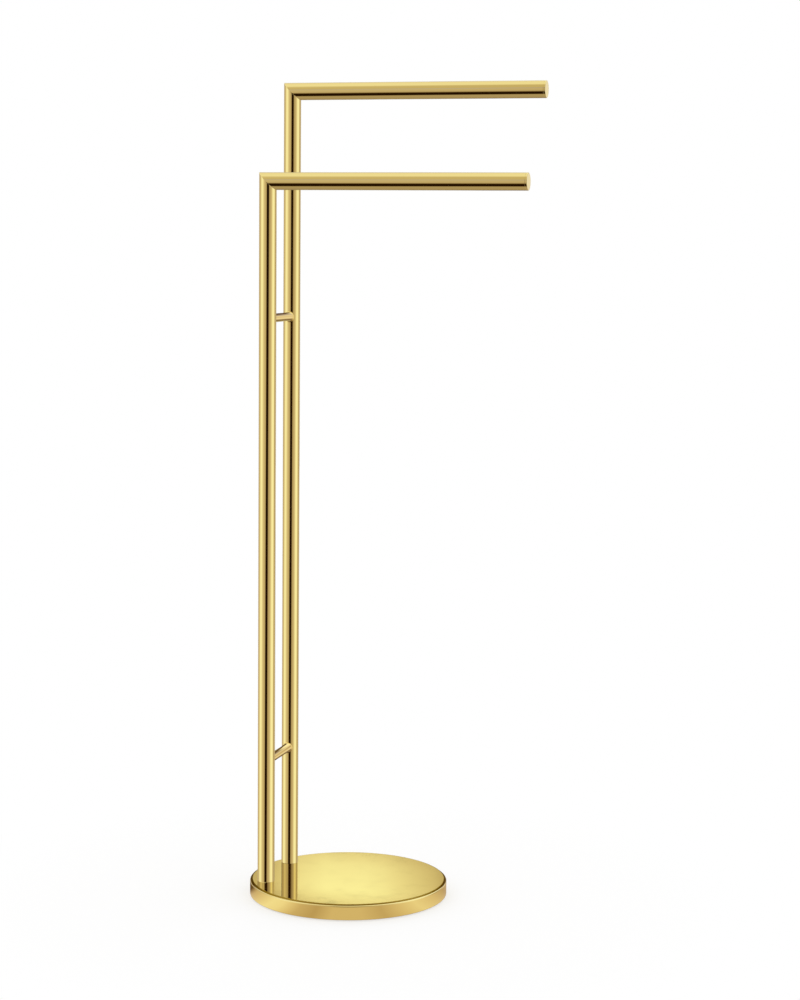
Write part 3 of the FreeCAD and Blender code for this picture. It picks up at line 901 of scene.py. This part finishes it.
# Faces in the groove and down the plate's rounded edge take the dull finish with painted shade.
for face in bm.faces:
    middle = face.calc_center_median()
    out = math.hypot(middle.x, middle.y)
    in_unpolished_and_shade = unpolished_and_shade_from < out < ring_inner and groove_bottom - NEAR < middle.z
    face.material_index = 1 if in_unpolished_and_shade else 0
cover = add_piece("base_plate_cover", bm, gold_upright, ["base_cover"])
# The second finish is the groove's, unpolished gold with painted shade.
cover.data.materials.append(groove_finish_with_painted_shade)

# %% [markdown]
# ## The pieces inside and underneath
# A black-oxide steel weight fills the cover, a turned brass plug sits in the foot of each post,
# and a zinc-plated screw with two washers pulls it down from below. The CAD's shapes are right for
# these, so they stay and only get a finish. Each finish could be a texture of its own, but all of
# them show the same kind of fine grain, so one node group makes it: patches in the roughness, and
# a small relief.

# %% Grain, a shared node group
COARSE_SCALE = 60
PATCH_EDGES = [(0.35, 0.0), (0.65, 1.0)]
RELIEF_DEPTH = 0.1 * MM
GRAIN_INPUTS = (
    ("Position", "NodeSocketVector", None), ("Size", "NodeSocketFloat", 800.0),
    ("Smoothest", "NodeSocketFloat", 0.3), ("Roughest", "NodeSocketFloat", 0.5),
    ("Relief", "NodeSocketFloat", 0.2),
)
GRAIN_OUTPUTS = (
    ("Patches", "NodeSocketFloat"), ("Roughness", "NodeSocketFloat"), ("Normal", "NodeSocketVector"),
)
grain_group, given, result = new_group("surface_grain", GRAIN_INPUTS, GRAIN_OUTPUTS)
fine = add_node(grain_group, "ShaderNodeTexNoise", {
    "Vector": given.outputs["Position"], "Scale": given.outputs["Size"], "Detail": 4,
}).outputs["Fac"]
coarse = add_node(grain_group, "ShaderNodeTexNoise", {
    "Vector": given.outputs["Position"], "Scale": COARSE_SCALE, "Detail": 5, "Roughness": 0.6,
}).outputs["Fac"]
patchy = add_ramp(grain_group, coarse, PATCH_EDGES, "EASE")
mixed = math_node(grain_group, "MULTIPLY", math_node(grain_group, "ADD", patchy, fine), 0.5)
spread = add_node(grain_group, "ShaderNodeMapRange", {
    "Value": mixed, "To Min": given.outputs["Smoothest"], "To Max": given.outputs["Roughest"],
}).outputs["Result"]
relief = add_node(grain_group, "ShaderNodeBump", {
    "Height": fine, "Strength": given.outputs["Relief"], "Distance": RELIEF_DEPTH,
}).outputs["Normal"]
for name, made in (("Patches", patchy), ("Roughness", spread), ("Normal", relief)):
    grain_group.links.new(made, result.inputs[name])
print("node group:", grain_group.name)

# %% Finishes of the hidden pieces


def grained_finish(name, metallic, tones, smoothest, roughest, relief, stretch=(1, 1, 1)):
    """A finish from the grain group, whose colour wanders between two close tones."""
    material, tree, output = new_material(name)
    coordinates = add_node(tree, "ShaderNodeTexCoord").outputs["Object"]
    mapping = add_node(tree, "ShaderNodeMapping", {"Vector": coordinates, "Scale": stretch})
    grain = add_node(tree, "ShaderNodeGroup", node_tree=grain_group)
    grain.inputs["Smoothest"].default_value = smoothest
    grain.inputs["Roughest"].default_value = roughest
    grain.inputs["Relief"].default_value = relief
    tree.links.new(mapping.outputs["Vector"], grain.inputs["Position"])
    colour = add_ramp(tree, grain.outputs["Patches"], [(0.0, tones[0]), (1.0, tones[1])])
    shader = add_node(tree, "ShaderNodeBsdfPrincipled", {
        "Base Color": colour, "Metallic": metallic,
        "Roughness": grain.outputs["Roughness"], "Normal": grain.outputs["Normal"],
    })
    tree.links.new(shader.outputs["BSDF"], output.inputs["Surface"])
    return material


HIDDEN_FINISHES = {
    "weight_steel": grained_finish(
        "steel_black_oxide", metallic=0.9, tones=((0.22, 0.22, 0.235), (0.31, 0.31, 0.32)),
        smoothest=0.38, roughest=0.60, relief=0.25),
    "turned_brass": grained_finish(
        "brass_as_turned", metallic=1.0, tones=((0.74, 0.57, 0.26), (0.80, 0.65, 0.33)),
        smoothest=0.22, roughest=0.38, relief=0.20, stretch=(0.15, 0.15, 3)),
    "zinc_steel": grained_finish(
        "steel_zinc_plated", metallic=1.0, tones=((0.60, 0.61, 0.63), (0.70, 0.71, 0.71)),
        smoothest=0.24, roughest=0.42, relief=0.12),
    "pad_rubber": grained_finish(
        "rubber_matt_black", metallic=0.0, tones=((0.030, 0.030, 0.032), (0.042, 0.042, 0.044)),
        smoothest=0.70, roughest=0.88, relief=0.45),
}
for subpart in frame["record"]["subparts"]:
    if subpart["material_slot"] in HIDDEN_FINISHES:
        for holder in frame["nodes"][subpart["node"]].material_slots:
            holder.material = HIDDEN_FINISHES[subpart["material_slot"]]
for node in frame["nodes"].values():
    node.visible_glossy = False
print("finishes inside and underneath:", sorted(HIDDEN_FINISHES))

# %% [markdown]
# ## The rubber pad
# The pad is punched from rubber sheet, with a hole to reach each screw. Three circles are filled
# as one flat face and the face is extruded to the sheet's thickness, which is quicker than cutting
# holes in a disc and leaves no stray edges. Cut rubber has soft edges, so they get a small bevel,
# and only the bevel is shaded smooth, which keeps the two big faces flat.

# %% Rubber pad
ACCESS_HOLE_RADIUS = 8.5 * MM
ACCESS_HOLE_SEGMENTS = 64
PAD_SOFTNESS = 0.3 * MM
# Edges steeper than this, in degrees, are cut edges, and a face this level is one of the flats.
CUT_ANGLE = 60
LEVEL_NORMAL = 0.999
low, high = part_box("base_pad")
bm = bmesh.new()
bmesh.ops.create_circle(
    bm, segments=BASE_SEGMENTS, radius=high.x, matrix=Matrix.Translation((0, 0, low.z)))
for foot, _radius, _corner, _rail_end in frames.values():
    under_post = Matrix.Translation((foot.x, foot.y, low.z))
    bmesh.ops.create_circle(
        bm, segments=ACCESS_HOLE_SEGMENTS, radius=ACCESS_HOLE_RADIUS, matrix=under_post)
bmesh.ops.triangle_fill(bm, use_beauty=True, use_dissolve=False, edges=bm.edges[:])
grown = bmesh.ops.extrude_face_region(bm, geom=bm.faces[:], use_keep_orig=True)["geom"]
bmesh.ops.translate(bm, verts=verts_of(grown), vec=UP * (high.z - low.z))
bmesh.ops.recalc_face_normals(bm, faces=bm.faces[:])
cut_edges = [e for e in bm.edges if e.calc_face_angle() > math.radians(CUT_ANGLE)]
bmesh.ops.bevel(bm, geom=cut_edges, offset=PAD_SOFTNESS, affect="EDGES", segments=3, profile=0.5,
                material=-1)
rubber = add_piece(
    "rubber_foot_pad", bm, HIDDEN_FINISHES["pad_rubber"], ["base_pad"])
for polygon in rubber.data.polygons:
    polygon.use_smooth = abs(polygon.normal.z) < LEVEL_NORMAL
print("pad thickness in mm:", round((high.z - low.z) / MM, 2))
